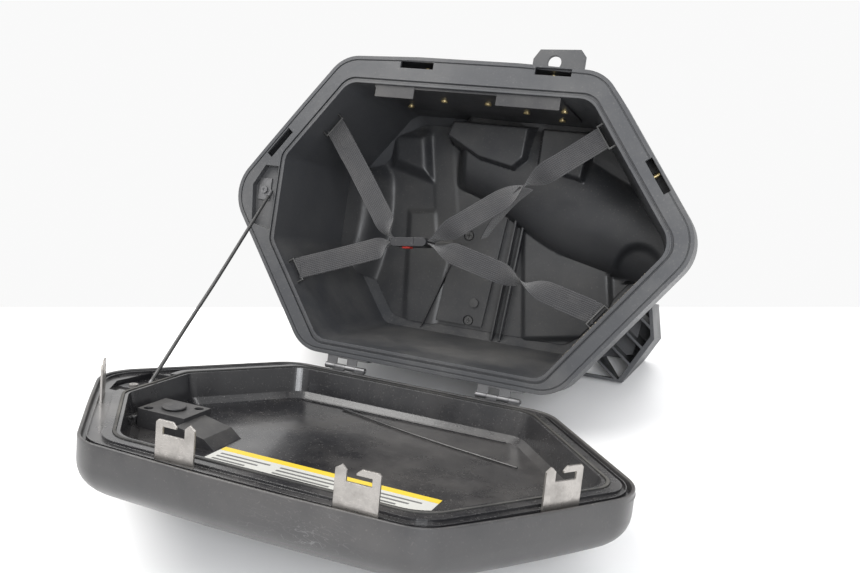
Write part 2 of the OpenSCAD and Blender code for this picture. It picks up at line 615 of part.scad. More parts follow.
module lock_cylinder() color([0.6, 0.6, 0.6]) in_lid() translate([lock_at[0], 0, lock_at[1]]) difference() {
    rod(lock_r, -lid_depth - 1.5, housing_y + 1);
    box([-1, -lid_depth - 3, -5], [1, -lid_depth + 3, 5]);
}
module lid_label() color([0.85, 0.75, 0.1]) in_lid()
    box([-98, -bowl_depth, 224], [118, -bowl_depth + 0.4, 262]);

tub_shell();
latch_cover();
latch_cover_screws();
backing_plate();
backing_screws();
locating_stud();
rear_plate();
top_bracket();
top_bracket_screws();
foot_left();
foot_right();
foot_screws();
latch_pin_1();
latch_pin_2();
latch_pin_3();
latch_pin_4();
anchor_upper_left();
anchor_lower_left();
anchor_upper_right();
anchor_lower_right();
strap_upper_left();
strap_lower_left();
strap_upper_right();
strap_lower_right();
buckle_body();
buckle_button();
buckle_tongue();
stay_bracket_tub();
stay_screw_tub();
stay_ferrule_tub();
stay_cable();
stay_ferrule_lid();
stay_bracket_lid();
stay_screw_lid();
tub_hinge_leaf_left();
tub_hinge_leaf_right();
hinge_pin_left();
hinge_pin_right();
lid_hinge_leaf_left();
lid_hinge_leaf_right();
lid_cover();
lid_pan();
lid_seal();
hook_1();
hook_2();
hook_3();
hook_4();
lock_housing();
lock_housing_screws();
lock_cylinder();
lid_label();
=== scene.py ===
"""Looks of the open hard saddlebag: camera, light, materials, and the detail pieces on the CAD frame."""
import json
import math
import random

import bpy
from mathutils import Matrix, Vector


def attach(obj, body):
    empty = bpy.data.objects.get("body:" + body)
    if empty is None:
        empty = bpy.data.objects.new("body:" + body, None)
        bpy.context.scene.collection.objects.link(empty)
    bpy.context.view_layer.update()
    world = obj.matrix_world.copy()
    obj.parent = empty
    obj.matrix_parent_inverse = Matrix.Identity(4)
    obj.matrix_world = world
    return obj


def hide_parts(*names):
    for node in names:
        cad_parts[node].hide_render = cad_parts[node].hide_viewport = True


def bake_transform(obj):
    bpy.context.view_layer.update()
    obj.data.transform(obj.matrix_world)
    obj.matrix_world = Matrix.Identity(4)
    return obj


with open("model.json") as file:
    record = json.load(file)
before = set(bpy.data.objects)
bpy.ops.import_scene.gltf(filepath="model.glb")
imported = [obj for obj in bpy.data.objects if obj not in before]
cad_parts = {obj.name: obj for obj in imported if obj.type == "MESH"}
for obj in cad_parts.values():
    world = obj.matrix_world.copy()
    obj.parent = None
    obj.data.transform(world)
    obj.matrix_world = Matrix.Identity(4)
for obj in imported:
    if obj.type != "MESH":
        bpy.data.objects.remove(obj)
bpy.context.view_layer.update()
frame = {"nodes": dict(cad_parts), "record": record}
NODES = frame["nodes"]
random.seed(7)

MM = 0.001
LEAN = math.radians(23)
OPEN = math.radians(98.4)
HINGE = Vector(next(j for j in frame["record"]["behaviour"]["joints"] if j["name"] == "lid_hinge")["pos_m"])
TUB = Matrix.Translation(HINGE) @ Matrix.Rotation(-LEAN, 4, "X")
LID = TUB @ Matrix.Rotation(OPEN, 4, "X")

# The camera's place from the lid's hinge line, and the way it looks
EYE = Vector((0.3506, -0.8124, 0.4790))
GAZE = Vector((-0.3548, 0.8542, -0.3801))
LENS, SENSOR = 37.67, 36
WORLD_LIGHT = 0.95

CREASE = 28  # degrees between faces from which an edge is drawn sharp


# ---- camera and light ----
def aim(obj, target):
    obj.rotation_euler = (Vector(target) - obj.location).to_track_quat("-Z", "Y").to_euler()


def make_camera():
    cam = bpy.data.objects.new("camera", bpy.data.cameras.new("camera"))
    bpy.context.scene.collection.objects.link(cam)
    cam.location = HINGE + EYE
    aim(cam, cam.location + GAZE)
    cam.data.lens = LENS
    cam.data.sensor_width = SENSOR
    cam.data.clip_start = 0.02
    cam.data.dof.use_dof = False
    bpy.context.scene.camera = cam


def area_light(name, at, target, size, power, tint=(1, 1, 1)):
    light = bpy.data.objects.new(name, bpy.data.lights.new(name, "AREA"))
    bpy.context.scene.collection.objects.link(light)
    light.location = at
    light.data.size = size
    light.data.energy = power
    light.data.color = tint
    aim(light, target)


def make_lights():
    area_light("key", (-0.9, -0.5, 1.7), (0, 0, 0.1), 1.3, 34, (1, 0.985, 0.96))
    area_light("fill", (0.9, -1.5, 1.0), (0, 0.1, 0.2), 0.9, 25, (0.95, 0.97, 1))
    area_light("back", (0.2, 1.4, 1.3), (0, 0.1, 0.2), 1.2, 16)
    world = bpy.data.worlds.new("studio")
    world.use_nodes = True
    world.node_tree.nodes["Background"].inputs[0].default_value = (1, 1, 1, 1)
    world.node_tree.nodes["Background"].inputs[1].default_value = WORLD_LIGHT
    bpy.context.scene.world = world
    bpy.context.scene.view_settings.view_transform = "Standard"


# ---- materials ----
class Shader:
    """A small helper round one node material."""

    def __init__(self, name):
        self.mat = bpy.data.materials.new(name)
        self.mat.use_nodes = True
        self.tree = self.mat.node_tree
        self.bsdf = self.tree.nodes["Principled BSDF"]
        self.where = self.node("ShaderNodeTexCoord").outputs["Object"]

    def node(self, kind, **values):
        made = self.tree.nodes.new(kind)
        for key, value in values.items():
            setattr(made, key, value)
        return made

    def link(self, a, b):
        self.tree.links.new(a, b)

    def stretched(self, scale, turn=(0, 0, 0)):
        m = self.node("ShaderNodeMapping")
        m.inputs["Scale"].default_value = scale
        m.inputs["Rotation"].default_value = turn
        self.link(self.where, m.inputs["Vector"])
        return m.outputs["Vector"]

    def noise(self, scale, detail=4, rough=0.6, at=None):
        n = self.node("ShaderNodeTexNoise")
        n.inputs["Scale"].default_value = scale
        n.inputs["Detail"].default_value = detail
        n.inputs["Roughness"].default_value = rough
        self.link(at or self.where, n.inputs["Vector"])
        return n.outputs["Fac"]

    def ramp(self, value, low, high, to_low=0.0, to_high=1.0):
        r = self.node("ShaderNodeMapRange")
        for key, number in (("From Min", low), ("From Max", high), ("To Min", to_low), ("To Max", to_high)):
            r.inputs[key].default_value = number
        self.link(value, r.inputs["Value"])
        return r.outputs["Result"]

    def math(self, kind, a, b):
        m = self.node("ShaderNodeMath", operation=kind)
        for socket, value in zip(m.inputs, (a, b)):
            if isinstance(value, (int, float)):
                socket.default_value = value
            else:
                self.link(value, socket)
        return m.outputs[0]

    def mix(self, fac, a, b):
        m = self.node("ShaderNodeMix", data_type="RGBA")
        colours = [s for s in m.inputs if s.type == "RGBA"]
        self.link(fac, m.inputs[0])
        for socket, value in zip(colours, (a, b)):
            if isinstance(value, tuple):
                socket.default_value = value + (1,)
            else:
                self.link(value, socket)
        return next(s for s in m.outputs if s.type == "RGBA")

    def scratches(self, amount, turn, scale=30):
        fine = self.noise(scale, 2, 0.5, self.stretched((1, 34, 3), turn))
        off_middle = self.math("ABSOLUTE", self.math("SUBTRACT", fine, 0.5), 0)
        line = self.math("SUBTRACT", 1.0, self.ramp(off_middle, 0.0, 0.006))
        where = self.ramp(self.noise(9, 3), 0.5, 0.7)
        return self.math("MULTIPLY", self.math("MULTIPLY", line, where), amount)

    def facing_up(self):
        geo = self.node("ShaderNodeNewGeometry")
        split = self.node("ShaderNodeSeparateXYZ")
        self.link(geo.outputs["Normal"], split.inputs[0])
        return self.ramp(split.outputs["Z"], 0.1, 0.9)

    def bump(self, height, distance, strength=1.0, base=None):
        b = self.node("ShaderNodeBump")
        b.inputs["Distance"].default_value = distance
        b.inputs["Strength"].default_value = strength
        self.link(height, b.inputs["Height"])
        if base is not None:
            self.link(base, b.inputs["Normal"])
        return b.outputs["Normal"]

    def rounded(self, radius):
        n = self.node("ShaderNodeBevel", samples=4)
        n.inputs["Radius"].default_value = radius
        return n.outputs["Normal"]


def plastic(name, base, dust, rough, grain=1.0, dusty=0.5, scratched=0.4, edge=0.0009, coat=0.0):
    """Moulded plastic with fine grain, patchy dust on what faces up, and hairline scratches."""
    s = Shader(name)
    patches = s.ramp(s.noise(7, 8, 0.65), 0.42, 0.72)
    specks = s.ramp(s.noise(420, 2), 0.62, 0.72)
    settle = s.math("MULTIPLY", s.math("ADD", s.facing_up(), 0.25), dusty)
    veil = s.math("MULTIPLY", s.math("ADD", patches, s.math("MULTIPLY", specks, 0.8)), settle)
    marks = s.math("ADD", s.scratches(scratched, (0.3, 0.2, 0.5)),
                   s.scratches(scratched, (1.1, 0.7, 2.0), 22))
    shade = s.ramp(s.noise(3, 3), 0.3, 0.7)
    darker = tuple(c * 0.8 for c in base)
    colour = s.mix(shade, darker, base)
    colour = s.mix(s.math("MINIMUM", veil, 0.8), colour, dust)
    scraped = tuple(min(1, c * 2 + 0.12) for c in base)
    colour = s.mix(s.math("MINIMUM", s.math("MULTIPLY", marks, 0.6), 0.7), colour, scraped)
    s.link(colour, s.bsdf.inputs["Base Color"])
    uneven = s.ramp(s.noise(18, 6), 0.3, 0.7, rough - 0.07, rough + 0.07)
    dullness = s.math("ADD", uneven, s.math("MULTIPLY", veil, 0.35))
    s.link(dullness, s.bsdf.inputs["Roughness"])
    normal = s.rounded(edge)
    normal = s.bump(s.noise(1500, 2), 0.00012, 0.5 * grain, normal)
    normal = s.bump(s.noise(26, 3), 0.0006, 0.18, normal)
    normal = s.bump(marks, -0.00008, 0.5, normal)
    s.link(normal, s.bsdf.inputs["Normal"])
    s.bsdf.inputs["Coat Weight"].default_value = coat
    s.bsdf.inputs["Coat Roughness"].default_value = 0.12
    return s.mat


def metal(name, base, rough, tarnish, brushed=(1, 40, 1), edge=0.0005):
    """Metal with a brushed direction, dull stains and small dents."""
    s = Shader(name)
    s.bsdf.inputs["Metallic"].default_value = 0.9
    stains = s.ramp(s.noise(60, 6, 0.7), 0.45, 0.75)
    colour = s.mix(s.math("MULTIPLY", stains, tarnish), base, tuple(c * 0.4 for c in base))
    s.link(colour, s.bsdf.inputs["Base Color"])
    lines = s.noise(160, 2, 0.5, s.stretched(brushed))
    uneven = s.ramp(lines, 0.3, 0.7, rough - 0.08, rough + 0.1)
    s.link(s.math("ADD", uneven, s.math("MULTIPLY", stains, 0.2)), s.bsdf.inputs["Roughness"])
    normal = s.bump(lines, 0.00005, 0.35, s.rounded(edge))
    normal = s.bump(s.noise(120, 3), 0.0002, 0.2, normal)
    s.link(normal, s.bsdf.inputs["Normal"])
    return s.mat


CORD_PITCH, WEFT_PITCH = 0.0021, 0.0026


def webbing_cloth(name):
    """Flat woven tape: the UV map runs across (x) and along (y) in metres."""
    s = Shader(name)
    uv = s.node("ShaderNodeUVMap", uv_map="tape").outputs["UV"]
    split = s.node("ShaderNodeSeparateXYZ")
    s.link(uv, split.inputs[0])
    across = s.math("MULTIPLY", split.outputs["X"], 2 * math.pi / CORD_PITCH)
    along = s.math("MULTIPLY", split.outputs["Y"], 2 * math.pi / WEFT_PITCH)
    diagonal = s.math("SINE", s.math("ADD", along, s.math("MULTIPLY", s.math("SINE", across, 0), 1.4)), 0)
    cords = s.math("ABSOLUTE", s.math("SINE", s.math("MULTIPLY", across, 0.5), 0), 0)
    weave = s.math("ADD", s.math("MULTIPLY", diagonal, 0.3), cords)
    fuzz = s.noise(900, 3)
    worn = s.ramp(s.noise(35, 5), 0.45, 0.75)
    colour = s.mix(s.ramp(weave, 0.0, 1.2), (0.008, 0.008, 0.009), (0.05, 0.05, 0.054))
    colour = s.mix(s.math("MULTIPLY", worn, 0.25), colour, (0.1, 0.095, 0.09))
    s.link(colour, s.bsdf.inputs["Base Color"])
    s.link(s.ramp(fuzz, 0.3, 0.7, 0.72, 0.9), s.bsdf.inputs["Roughness"])
    s.bsdf.inputs["Sheen Weight"].default_value = 0.3
    s.bsdf.inputs["Sheen Roughness"].default_value = 0.5
    s.link(s.bump(weave, 0.0004, 0.9, s.bump(fuzz, 0.0001, 0.6)), s.bsdf.inputs["Normal"])
    return s.mat


def floor_paint():
    s = Shader("table")
    colour = s.mix(s.ramp(s.noise(2, 4), 0.3, 0.7), (0.8, 0.8, 0.805), (0.85, 0.85, 0.85))
    s.link(colour, s.bsdf.inputs["Base Color"])
    s.link(s.ramp(s.noise(30, 5), 0.3, 0.7, 0.42, 0.55), s.bsdf.inputs["Roughness"])
    return s.mat


MATS = {
    "shell": plastic("shell plastic", (0.05, 0.052, 0.057), (0.26, 0.25, 0.23), 0.42, 1.0, 0.3, 0.5),
    "inner": plastic("inner plastic", (0.026, 0.027, 0.03), (0.2, 0.19, 0.17), 0.36, 1.2, 0.3, 0.4),
    "dark": plastic("dark plastic", (0.02, 0.02, 0.023), (0.22, 0.21, 0.19), 0.4, 0.8, 0.3, 0.4),
    "lid": plastic("lid liner", (0.012, 0.012, 0.014), (0.2, 0.19, 0.18), 0.22, 0.25, 0.3, 0.7, 0.0012, 0.4),
    "skin": plastic("lid skin", (0.03, 0.0295, 0.031), (0.3, 0.28, 0.26), 0.36, 0.4, 0.25, 1.0, 0.0012, 0.15),
    "rubber": plastic("rubber", (0.02, 0.02, 0.02), (0.2, 0.19, 0.17), 0.65, 1.5, 0.4, 0.0, 0.0005),
    "red": plastic("red plastic", (0.52, 0.03, 0.02), (0.4, 0.2, 0.18), 0.35, 0.5, 0.1, 0.2, 0.0006),
    "yellow": plastic("yellow print", (0.72, 0.52, 0.03), (0.5, 0.45, 0.3), 0.4, 0.3, 0.15, 0.4, 0.0002),
    "pale": plastic("pale print", (0.55, 0.55, 0.52), (0.5, 0.48, 0.42), 0.4, 0.3, 0.2, 0.5, 0.0002),
    "grey": plastic("grey print", (0.12, 0.12, 0.12), (0.4, 0.38, 0.35), 0.45, 0.3, 0.2, 0.4, 0.0002),
    "dirt": plastic("dried dirt", (0.42, 0.36, 0.27), (0.6, 0.55, 0.45), 0.9, 2.0, 0.3, 0.0, 0.0002),
    "stainless": metal("stainless", (0.4, 0.38, 0.36), 0.3, 0.6),
    "zinc": metal("zinc", (0.17, 0.17, 0.175), 0.42, 0.6),
    "black steel": metal("black steel", (0.09, 0.09, 0.09), 0.4, 0.4),
    "brass": metal("yellow zinc", (0.62, 0.5, 0.26), 0.35, 0.4),
    "web": webbing_cloth("webbing"),
}

LOOKS = {
    "shell": ["tub_shell", "foot_left", "foot_right", "top_bracket"],
    "inner": ["backing_plate"],
    "dark": ["latch_cover", "buckle_body", "buckle_tongue", "lock_housing"],
    "black steel": ["anchor_upper_left", "anchor_lower_left", "anchor_upper_right", "anchor_lower_right",
                    "backing_screws", "locating_stud"],
    "lid": ["lid_pan"],
    "skin": ["lid_cover"],
    "rubber": ["lid_seal"],
    "red": ["buckle_button"],
    "stainless": ["hook_1", "hook_2", "hook_3", "hook_4", "stay_screw_lid", "lock_housing_screws"],
    "brass": ["latch_pin_1", "latch_pin_2", "latch_pin_3", "latch_pin_4", "latch_cover_screws"],
    "zinc": ["rear_plate", "top_bracket_screws", "foot_screws", "stay_bracket_tub", "stay_screw_tub",
             "stay_ferrule_tub", "stay_ferrule_lid", "stay_bracket_lid", "tub_hinge_leaf_left",
             "tub_hinge_leaf_right", "hinge_pin_left", "hinge_pin_right", "lid_hinge_leaf_left",
             "lid_hinge_leaf_right", "lock_cylinder"],
}


def dress_cad_nodes():
    for look, names in LOOKS.items():
        for name in names:
            mesh = NODES[name].data
            mesh.materials.clear()
            mesh.materials.append(MATS[look])
            mesh.shade_smooth()
            mesh.set_sharp_from_angle(angle=math.radians(CREASE))


# ---- building blocks ----
def new_piece(name, points, faces, material, place=Matrix.Identity(4), body="tub", smooth=CREASE):
    """A mesh from points in millimetres in the tub's or lid's own axes."""
    mesh = bpy.data.meshes.new(name)
    mesh.from_pydata([place @ (Vector(p) * MM) for p in points], [], faces)
    mesh.validate()
    mesh.update()
    mesh.materials.append(MATS[material])
    mesh.shade_smooth()
    mesh.set_sharp_from_angle(angle=math.radians(smooth))
    obj = bpy.data.objects.new(name, mesh)
    bpy.context.scene.collection.objects.link(obj)
    if body:
        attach(obj, body)
    return obj


def plate(name, outline, y0, y1, material, place=TUB, body="tub", soft=1.2):
    """Upright plate of a front-view outline between two depths, its edges rounded."""
    n = len(outline)
    area = sum(outline[i - 1][0] * p[1] - p[0] * outline[i - 1][1] for i, p in enumerate(outline))
    loop = list(outline) if area > 0 else list(reversed(outline))
    points = [(x, y0, z) for x, z in loop] + [(x, y1, z) for x, z in loop]
    faces = [tuple(range(n)), tuple(range(2 * n - 1, n - 1, -1))]
    faces += [(i, i + n, (i + 1) % n + n, (i + 1) % n) for i in range(n)]
    obj = new_piece(name, points, faces, material, place, body)
    rounding = obj.modifiers.new("rounding", "BEVEL")
    rounding.width = soft * MM
    rounding.segments = 3
    rounding.angle_limit = math.radians(35)
    return obj


ASKEW = Vector((0, 0.31, 0.95))  # a direction that no bar runs along


def tube(name, path, radius, material, place=Matrix.Identity(4), body="tub", sides=12, closed=False):
    """Round bar along points in millimetres."""
    pts = [Vector(p) for p in path]
    last = len(pts) - 1
    points = []
    for k, p in enumerate(pts):
        ahead = pts[(k + 1) % len(pts)] if closed else pts[min(last, k + 1)]
        behind = pts[k - 1] if closed or k else pts[0]
        t = (ahead - behind).normalized()
        u = t.cross(ASKEW).normalized()
        v = t.cross(u)
        for q in range(sides):
            a = 2 * math.pi * q / sides
            points.append(p + (u * math.cos(a) + v * math.sin(a)) * radius)
    faces = []
    for k in range(len(pts) if closed else last):
        a, b = k * sides, ((k + 1) % len(pts)) * sides
        faces += [(a + q, a + (q + 1) % sides, b + (q + 1) % sides, b + q) for q in range(sides)]
    if not closed:
        faces += [tuple(range(sides - 1, -1, -1)), tuple(last * sides + q for q in range(sides))]
    return new_piece(name, points, faces, material, place, body, 50)


def rounded(outline, radius, steps=5):
    """Rounds the corners of a convex outline, with one radius or one for each corner."""
    out = []
    n = len(outline)
    for i, corner in enumerate(outline):
        r = radius[i] if hasattr(radius, "__len__") else radius
        p = Vector(corner)
        a = (Vector(outline[i - 1]) - p).normalized()
        b = (Vector(outline[(i + 1) % n]) - p).normalized()
        half = a.angle(b) / 2
        tangent = r / math.tan(half)
        centre = p + (a + b).normalized() * (r / math.sin(half))
        start, end = p + a * tangent - centre, p + b * tangent - centre
        for k in range(steps + 1):
            out.append(tuple(centre + start.lerp(end, k / steps).normalized() * r))
    return out


# ---- the six-sided outlines of the rim, seen from the front, in millimetres ----
HEXAGON = [(-153, 12), (153, 12), (280, 187), (153, 358), (-153, 358), (-280, 187)]


def inset(outline, depths):
    """Moves each edge of a counter-clockwise outline inward."""
    out = []
    n = len(outline)
    for i in range(n):
        before, here, after = Vector(outline[i - 1]), Vector(outline[i]), Vector(outline[(i + 1) % n])
        d1, d2 = (here - before).normalized(), (after - here).normalized()
        p = before + Vector((-d1.y, d1.x)) * depths[i - 1]
        q = here + Vector((-d2.y, d2.x)) * depths[i]
        cross = d1.x * d2.y - d1.y * d2.x
        gap = q - p
        out.append(tuple(p + d1 * ((gap.x * d2.y - gap.y * d2.x) / cross)))
    return out


def ring_path(outline, y):
    return [(x, y, z) for x, z in outline]


# ---- tub ----
# How far the cavity lies in from each rim edge, and its upright left side, at the front and at the back
FRONT_IN, FRONT_LEFT = (16, 25, 26, 30, 27, 25), -211
BACK_IN, BACK_LEFT = (36, 45, 44, 30, 38, 42), -198
OPENING_RADII = (20, 20, 26, 24, 24, 18, 18)
FRONT_Y, BACK_Y = 2, 190


def opening(share, grow=0.0):
    """Outline of the cavity at a share of its depth."""
    depths = [a + (b - a) * share for a, b in zip(FRONT_IN, BACK_IN)]
    left = FRONT_LEFT + (BACK_LEFT - FRONT_LEFT) * share
    six = inset(HEXAGON, depths)
    seven = six[:5] + [upright(six[4], six[5], left), upright(six[0], six[5], left)]
    return rounded(inset(seven, [grow] * 7), OPENING_RADII, 6)


def upright(a, b, x):
    """Point of the line a-b at x."""
    return (x, a[1] + (b[1] - a[1]) * (x - a[0]) / (b[0] - a[0]))


def ease(low, high, value):
    t = min(1.0, max(0.0, (value - low) / (high - low)))
    return t * t * (3 - 2 * t)


def inside(outline, x, z):
    """Distance inside a counter-clockwise convex outline, negative outside."""
    best = 1e9
    for i, (bx, bz) in enumerate(outline):
        ax, az = outline[i - 1]
        ex, ez = bx - ax, bz - az
        best = min(best, (ex * (z - az) - ez * (x - ax)) / math.hypot(ex, ez))
    return best


# Mouldings of the back wall: convex outline, height towards the front, softness of the edge
MOULDINGS = [
    ([(62, 56), (174, 76), (152, 186), (40, 200)], 5, 4),
    ([(-104, 50), (-62, 44), (-52, 160), (-62, 208), (-120, 200)], 3, 5),
    ([(-160, 302), (-150, 262), (-96, 248), (-108, 306)], 12, 9),
]
PADS = [
    ([(-62, 322), (-70, 298), (-20, 272), (28, 262), (44, 278), (46, 322)], 54, 6),
    ([(54, 322), (54, 268), (118, 256), (124, 322)], 50, 6),
]


CHANNEL, CHANNEL_RISE = [(-74, 168), (-44, 168), (-84, 342), (-113, 342)], 3.4
# The wheel bulge: its ridge falls 104 mm over 255 mm from its left end
RIDGE_LEFT, RIDGE_FALL, RIDGE_COSINE = (-40, 300), (104, 255), 0.926
BULGE_RISE, BULGE_HALF, BULGE_SWELL = 41, 60, 12
UPPER_RISE, COLUMN_RISE, COLUMN_X = 30, 34, -150
POCKET, POCKET_SIZE, POCKET_DEPTH = (196, 158), (30, 34), 7


def back_height(x, z):
    """How far the back wall stands towards the front, in millimetres."""
    h = 1.5
    for outline, rise, soft in MOULDINGS:
        h = max(h, 2.5 + rise * ease(-soft, soft, inside(outline, x, z)))
    ridge = RIDGE_LEFT[1] - (x - RIDGE_LEFT[0]) * RIDGE_FALL[0] / RIDGE_FALL[1]
    across = (z - ridge) * RIDGE_COSINE
    taper = ease(-66, -38, x)
    half = BULGE_HALF + BULGE_SWELL * math.sin((x + 20) * 0.016) ** 2
    bulge = BULGE_RISE * math.sqrt(max(0.0, 1 - (across / half) ** 2))
    upper = UPPER_RISE * ease(-10, 60, across) * taper
    h = max(h, bulge * taper, upper)
    for outline, rise, soft in PADS:
        h = max(h, rise * ease(-soft, soft, inside(outline, x, z)))
    wavy_side = COLUMN_X - x + 14 * math.sin((z - 90) * 0.017)
    column = COLUMN_RISE * ease(0, 44, wavy_side) * ease(60, 96, z) * (1 - ease(230, 270, z))
    h = max(h, column)
    groove = ease(-4, 2, inside(CHANNEL, x, z))
    h = h * (1 - groove) + CHANNEL_RISE * groove
    from_pocket = math.hypot((x - POCKET[0]) / POCKET_SIZE[0], (z - POCKET[1]) / POCKET_SIZE[1])
    return h - POCKET_DEPTH * (1 - ease(0.8, 1.1, from_pocket)) * (1 if h > 9 else 0.0)


def reach(outline, angle, centre):
    """Distance from the centre to a convex outline along an angle."""
    dx, dz = math.cos(angle), math.sin(angle)
    best = 1e9
    for i, (bx, bz) in enumerate(outline):
        ax, az = outline[i - 1]
        ex, ez = bx - ax, bz - az
        facing = ex * dz - ez * dx
        gap = ex * (centre[1] - az) - ez * (centre[0] - ax)
        if facing < -1e-9:
            best = min(best, -gap / facing)
    return best


def back_skin():
    """The moulded back wall, one smooth skin from wall to wall, and the ribs on it."""
    turns, rings, levels, centre = 400, 110, 10, (0.0, 190.0)
    shapes = [opening(0.97 * k / levels, 12.0 if k == levels else 0.4) for k in range(levels + 1)]
    points, faces = [], []
    for t in range(turns):
        angle = 2 * math.pi * t / turns
        spans = [reach(shape, angle, centre) for shape in shapes]
        for k in range(rings + 1):
            share, depth = k / rings, 1.0
            for _ in range(4):
                low = min(levels - 1, int(depth * levels))
                span = spans[low] + (spans[low + 1] - spans[low]) * (depth * levels - low)
                x = centre[0] + math.cos(angle) * span * share
                z = centre[1] + math.sin(angle) * span * share
                y = BACK_Y - back_height(x, z)
                depth = min(1.0, max(0.0, (y - FRONT_Y) / (BACK_Y - FRONT_Y)))
            points.append((x, y, z))
    step = rings + 1
    for t in range(turns):
        a, b = t * step, ((t + 1) % turns) * step
        faces += [(a + k, a + k + 1, b + k + 1, b + k) for k in range(rings)]
    new_piece("back_wall_skin", points, faces, "inner", TUB, "tub", 60)
    for k, x in enumerate((21, 31)):
        rib = [(x, 48), (x + 3, 48), (x + 13, 213), (x + 10, 213)]
        plate(f"long_rib_{k + 1}", rib, 174 + 3 * k, BACK_Y, "inner", soft=1.0)
    joint = [(-79, 46), (-77.5, 46), (-38.5, 166), (-40, 166)]
    plate("joint_rib", joint, 179, BACK_Y, "dark", soft=0.4)


def smooth_path(points, steps):
    """Catmull-Rom line through a few given points."""
    pts = [Vector(p) for p in points]
    pts = [2 * pts[0] - pts[1]] + pts + [2 * pts[-1] - pts[-2]]
    out = []
    for i in range(1, len(pts) - 2):
        for k in range(steps):
            t = k / steps
            p0, p1, p2, p3 = pts[i - 1:i + 3]
            out.append(0.5 * (2 * p1 + (p2 - p0) * t + (2 * p0 - 5 * p1 + 4 * p2 - p3) * t * t
                              + (3 * p1 - p0 - 3 * p2 + p3) * t ** 3))
    out.append(pts[-2])
    return out


def tub_rim():
    """Gasket bead that runs round the open edge."""
    inner = opening(0, -3.0)
    tube("rim_bead", ring_path(inner, 1.0), 1.1, "dark", TUB, closed=True)


def wall_in(front, back, y):
    """How far a side wall lies in from the rim at a depth, from its values at the front and the back."""
    return front + (back - front) * 0.93 * (y - FRONT_Y) / 174


CRUMBS = 260


def dirt_crumbs():
    """Dried mud caught on the lower right inside wall and on the lower lip."""
    a, b = Vector(HEXAGON[1]), Vector(HEXAGON[2])
    along = (b - a).normalized()
    inward = Vector((-along.y, along.x))
    points, faces = [], []
    for _ in range(CRUMBS):
        t = random.betavariate(2, 2)
        y = 4 + 70 * random.random() ** 1.8
        at = a.lerp(b, 0.1 + 0.72 * t) + inward * (wall_in(FRONT_IN[1], BACK_IN[1], y) + 0.4)
        size = random.uniform(0.4, 1.5) * (1 if random.random() < 0.9 else 1.8)
        base = len(points)
        for q in range(5):
            ang = 2 * math.pi * q / 5 + random.random()
            r = size * random.uniform(0.7, 1.2)
            p = at + along * (r * math.cos(ang))
            points.append((p.x, y + r * math.sin(ang), p.y))
        top = at + inward * size * 0.35
        points.append((top.x, y, top.y))
        faces += [(base + q, base + (q + 1) % 5, base + 5) for q in range(5)]
    new_piece("dirt_crumbs", points, faces, "dirt", TUB, "tub", 80)


# ---- straps ----
STRAP_W = 25.0
BUCKLE = Matrix.Translation((-37 * MM, 27 * MM, 154.5 * MM)) @ Matrix.Rotation(-math.radians(7), 4, "Y")
# Corners of the rim edge, share of the way along it, wall inset at the front and back, inward side, depth
ANCHORS = {
    "upper_left": (4, 5, 0.34, 27, 38, 1, 30),
    "lower_left": (0, 5, 0.41, 25, 42, -1, 12),
    "upper_right": (3, 2, 0.25, 26, 44, -1, 30),
    "lower_right": (1, 2, 0.41, 25, 45, 1, 30),
}
FOLD_ROWS, FOLD_GAP, LOOP_R = 14, 1.7, 2.5
# Where a strap ends along the buckle, from the buckle's middle
LEFT_END, RIGHT_END = -29.6, 15.6


def anchor(name):
    """Wall point, inward direction and edge direction of a strap's staple, in the tub's axes."""
    start, end, share, front, back, side, y = ANCHORS[name]
    a, b = Vector(HEXAGON[start]), Vector(HEXAGON[end])
    along = (b - a).normalized()
    inward = Vector((-along.y, along.x)) * side
    at = a.lerp(b, share) + inward * wall_in(front, back, y)
    return Vector((at.x, y, at.y)), Vector((inward.x, 0, inward.y)), Vector((along.x, 0, along.y))


def tape(name, centres, widths, body="tub", thick=1.5, place=TUB):
    """Webbing along centres (mm), with its width direction at each; returns the object and its length."""
    cols = 8
    run, total = [0.0], 0.0
    for a, b in zip(centres, centres[1:]):
        total += (b - a).length
        run.append(total)
    points, uvs, faces = [], [], []
    last = len(centres) - 1
    for k, c in enumerate(centres):
        t = (centres[min(last, k + 1)] - centres[max(0, k - 1)]).normalized()
        w = (widths[k] - t * widths[k].dot(t)).normalized()
        n = t.cross(w)
        for layer in (-0.5, 0.5):
            for q in range(cols + 1):
                s = q / cols - 0.5
                edge = 1 - 0.55 * max(0, abs(s) * 2 - 0.85) / 0.15
                wave = 0.25 * math.sin(run[k] * 0.11 + q) * abs(s)
                points.append(c + w * s * STRAP_W + n * (layer * thick * edge + wave))
                uvs.append(((s + 0.5) * 0.025, run[k] * MM))
    row = 2 * (cols + 1)
    for k in range(last):
        a, b = k * row, (k + 1) * row
        for q in range(cols):
            faces.append((a + q, a + q + 1, b + q + 1, b + q))
            m = cols + 1
            faces.append((a + m + q, b + m + q, b + m + q + 1, a + m + q + 1))
        faces.append((a, b, b + cols + 1, a + cols + 1))
        faces.append((a + cols, a + 2 * cols + 1, b + 2 * cols + 1, b + cols))
    for k in (0, last):
        a = k * row
        for q in range(cols):
            faces.append((a + q, a + cols + 1 + q, a + cols + 2 + q, a + q + 1))
    mesh = bpy.data.meshes.new(name)
    mesh.from_pydata([place @ (p * MM) for p in points], [], faces)
    layer = mesh.uv_layers.new(name="tape")
    for loop in mesh.loops:
        layer.data[loop.index].uv = uvs[loop.vertex_index]
    mesh.materials.append(MATS["web"])
    mesh.shade_smooth()
    mesh.set_sharp_from_angle(angle=math.radians(50))
    obj = bpy.data.objects.new(name, mesh)
    bpy.context.scene.collection.objects.link(obj)
    return obj, total * MM


